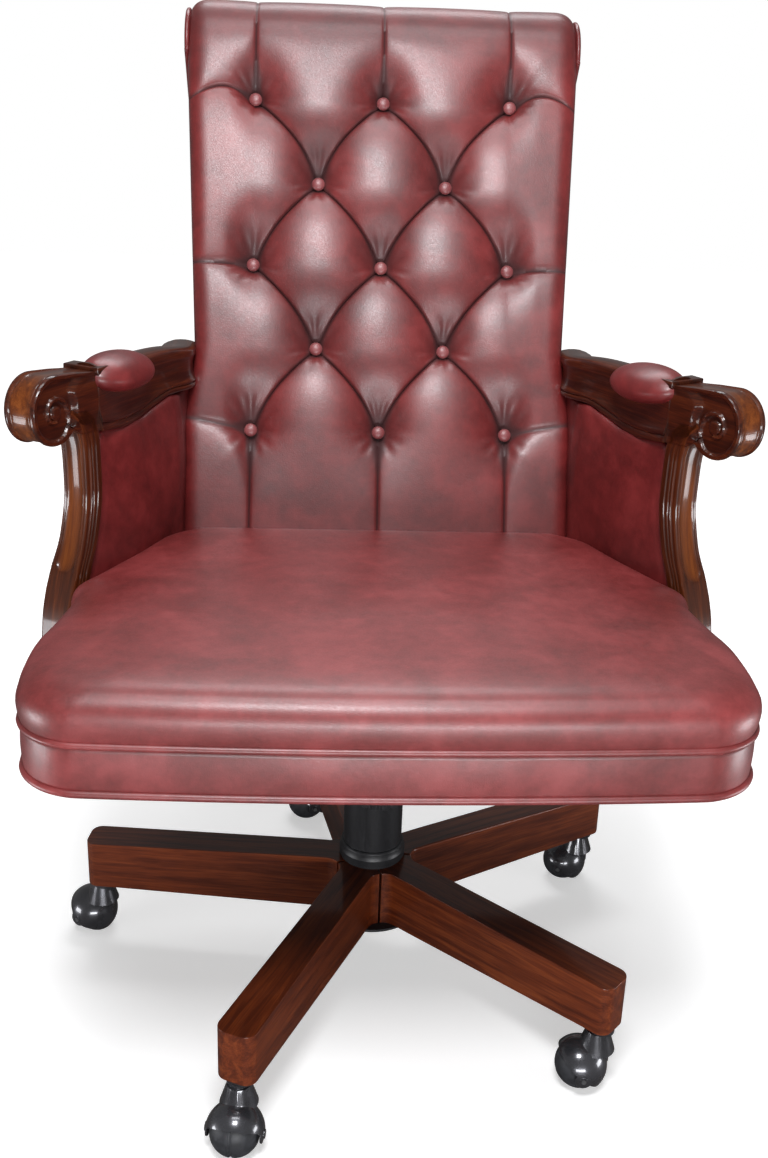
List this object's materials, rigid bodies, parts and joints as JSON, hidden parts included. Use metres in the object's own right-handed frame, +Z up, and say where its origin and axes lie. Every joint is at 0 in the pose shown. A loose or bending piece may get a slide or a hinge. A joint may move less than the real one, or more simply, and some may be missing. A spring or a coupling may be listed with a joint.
{
  "type": "chesterfield desk chair",
  "caption": "Swivel desk chair with deep-buttoned leather back, boxed leather seat, scrolled wooden arms, gas lift, tilt and a wooden star base on hooded ball casters.",
  "frame": {"origin": "on the floor under the middle of the whole chair's bounding box; the column stands 50.5 mm in front of it", "axes": "+Z up, +X to the right of a viewer who faces the front of the seat, +Y from the front of the seat to the back"},
  "size_m": [0.7348, 0.7621, 1.0469],
  "materials": {
    "leather": "satin oxblood hide",
    "mahogany": "polished dark mahogany stain",
    "black_steel": "black satin paint",
    "plain_steel": "zinc plated",
    "black_enamel": "glossy black enamel",
    "wheel_plastic": "dull black",
    "cover_plastic": "black satin",
    "sleeve_plastic": "natural",
    "dust_cloth": "thin black cloth",
    "plywood": "raw plywood"
  },
  "bodies": {
    "base": {"leg_1": "mahogany", "leg_2": "mahogany", "leg_3": "mahogany", "leg_4": "mahogany", "leg_5": "mahogany", "hub": "black_steel", "leg_bolts": "plain_steel", "caster_sockets": "black_enamel", "column_cover": "cover_plastic", "stand_tube": "black_steel", "guide_sleeve": "sleeve_plastic", "thrust_bearing": "plain_steel"},
    "caster_1": {"caster_hood_1": "black_enamel", "caster_stem_1": "plain_steel", "caster_axle_1": "plain_steel"},
    "wheel_1": {"caster_wheel_1": "wheel_plastic"},
    "caster_2": {"caster_hood_2": "black_enamel", "caster_stem_2": "plain_steel", "caster_axle_2": "plain_steel"},
    "wheel_2": {"caster_wheel_2": "wheel_plastic"},
    "caster_3": {"caster_hood_3": "black_enamel", "caster_stem_3": "plain_steel", "caster_axle_3": "plain_steel"},
    "wheel_3": {"caster_wheel_3": "wheel_plastic"},
    "caster_4": {"caster_hood_4": "black_enamel", "caster_stem_4": "plain_steel", "caster_axle_4": "plain_steel"},
    "wheel_4": {"caster_wheel_4": "wheel_plastic"},
    "caster_5": {"caster_hood_5": "black_enamel", "caster_stem_5": "plain_steel", "caster_axle_5": "plain_steel"},
    "wheel_5": {"caster_wheel_5": "wheel_plastic"},
    "lift_rod": {"piston_rod": "plain_steel"},
    "carriage": {"gas_cylinder": "black_steel", "upper_cover": "cover_plastic", "mechanism_housing": "black_steel", "tilt_pin": "plain_steel", "tilt_spring": "plain_steel"},
    "release_pin": {"release_pin": "plain_steel"},
    "lever": {"height_lever": "black_steel"},
    "knob": {"tension_knob": "cover_plastic"},
    "seat": {"tilt_plate": "black_steel", "dust_cover": "dust_cloth", "seat_board": "plywood", "frame_bolts": "plain_steel", "seat_border": "leather", "seat_cushion": "leather", "back_board": "plywood", "back_cushion": "leather", "roll_facings": "leather", "back_buttons": "leather", "back_shell": "leather", "arm_post_left": "mahogany", "arm_post_right": "mahogany", "arm_rail_left": "mahogany", "arm_rail_right": "mahogany", "arm_pad_left": "leather", "arm_pad_right": "leather", "arm_panel_left": "leather", "arm_panel_right": "leather"}
  },
  "joints": [
    {"name": "caster_swivel_1", "type": "hinge", "parent": "base", "child": "caster_1", "pos_m": [0.27691, 0.10173, 0.09], "axis": [0, 0, 1], "continuous": true},
    {"name": "wheel_roll_1", "type": "hinge", "parent": "caster_1", "child": "wheel_1", "pos_m": [0.25837, 0.10923, 0.025], "axis": [-0.3746, -0.9272, 0], "continuous": true},
    {"name": "caster_swivel_2", "type": "hinge", "parent": "base", "child": "caster_2", "pos_m": [-0.05921, 0.2599, 0.09], "axis": [0, 0, 1], "continuous": true},
    {"name": "wheel_roll_2", "type": "hinge", "parent": "caster_2", "child": "wheel_2", "pos_m": [-0.07734, 0.25145, 0.025], "axis": [0.4226, -0.9063, 0], "continuous": true},
    {"name": "caster_swivel_3", "type": "hinge", "parent": "base", "child": "caster_3", "pos_m": [-0.31351, -0.0109, 0.09], "axis": [0, 0, 1], "continuous": true},
    {"name": "wheel_roll_3", "type": "hinge", "parent": "caster_3", "child": "wheel_3", "pos_m": [-0.33047, -0.0003, 0.025], "axis": [-0.5299, -0.848, 0], "continuous": true},
    {"name": "caster_swivel_4", "type": "hinge", "parent": "base", "child": "caster_4", "pos_m": [-0.13455, -0.33642, 0.09], "axis": [0, 0, 1], "continuous": true},
    {"name": "wheel_roll_4", "type": "hinge", "parent": "caster_4", "child": "wheel_4", "pos_m": [-0.13836, -0.35606, 0.025], "axis": [0.9816, -0.1908, 0], "continuous": true},
    {"name": "caster_swivel_5", "type": "hinge", "parent": "base", "child": "caster_5", "pos_m": [0.23035, -0.26682, 0.09], "axis": [0, 0, 1], "continuous": true},
    {"name": "wheel_roll_5", "type": "hinge", "parent": "caster_5", "child": "wheel_5", "pos_m": [0.21035, -0.26682, 0.025], "axis": [0, -1, 0], "continuous": true},
    {"name": "seat_swivel", "type": "hinge", "parent": "base", "child": "lift_rod", "pos_m": [0, -0.0505, 0.075], "axis": [0, 0, 1], "continuous": true},
    {"name": "seat_height", "type": "slide", "parent": "lift_rod", "child": "carriage", "axis": [0, 0, 1], "range_m": [0, 0.1]},
    {"name": "seat_tilt", "type": "hinge", "parent": "carriage", "child": "seat", "pos_m": [0, -0.0755, 0.345], "axis": [-1, 0, 0], "range_deg": [0, 15], "stiffness_Nm_per_rad": 60, "springref_deg": -28.65, "deforming": ["tilt_spring"]},
    {"name": "lever_lift", "type": "hinge", "parent": "carriage", "child": "lever", "pos_m": [-0.03, -0.0505, 0.3403], "axis": [0, 1, 0], "range_deg": [0, 6], "stiffness_Nm_per_rad": 1.5, "springref_deg": -11.46},
    {"name": "release_press", "type": "slide", "parent": "carriage", "child": "release_pin", "axis": [0, 0, -1], "range_m": [0, 0.0035]},
    {"name": "knob_turn", "type": "hinge", "parent": "carriage", "child": "knob", "pos_m": [0, -0.1455, 0.285], "axis": [0, 0, 1], "continuous": true}
  ],
  "couplings": [
    {"joint": "release_press", "follows": "lever_lift", "m_per_rad": 0.03}
  ]
}
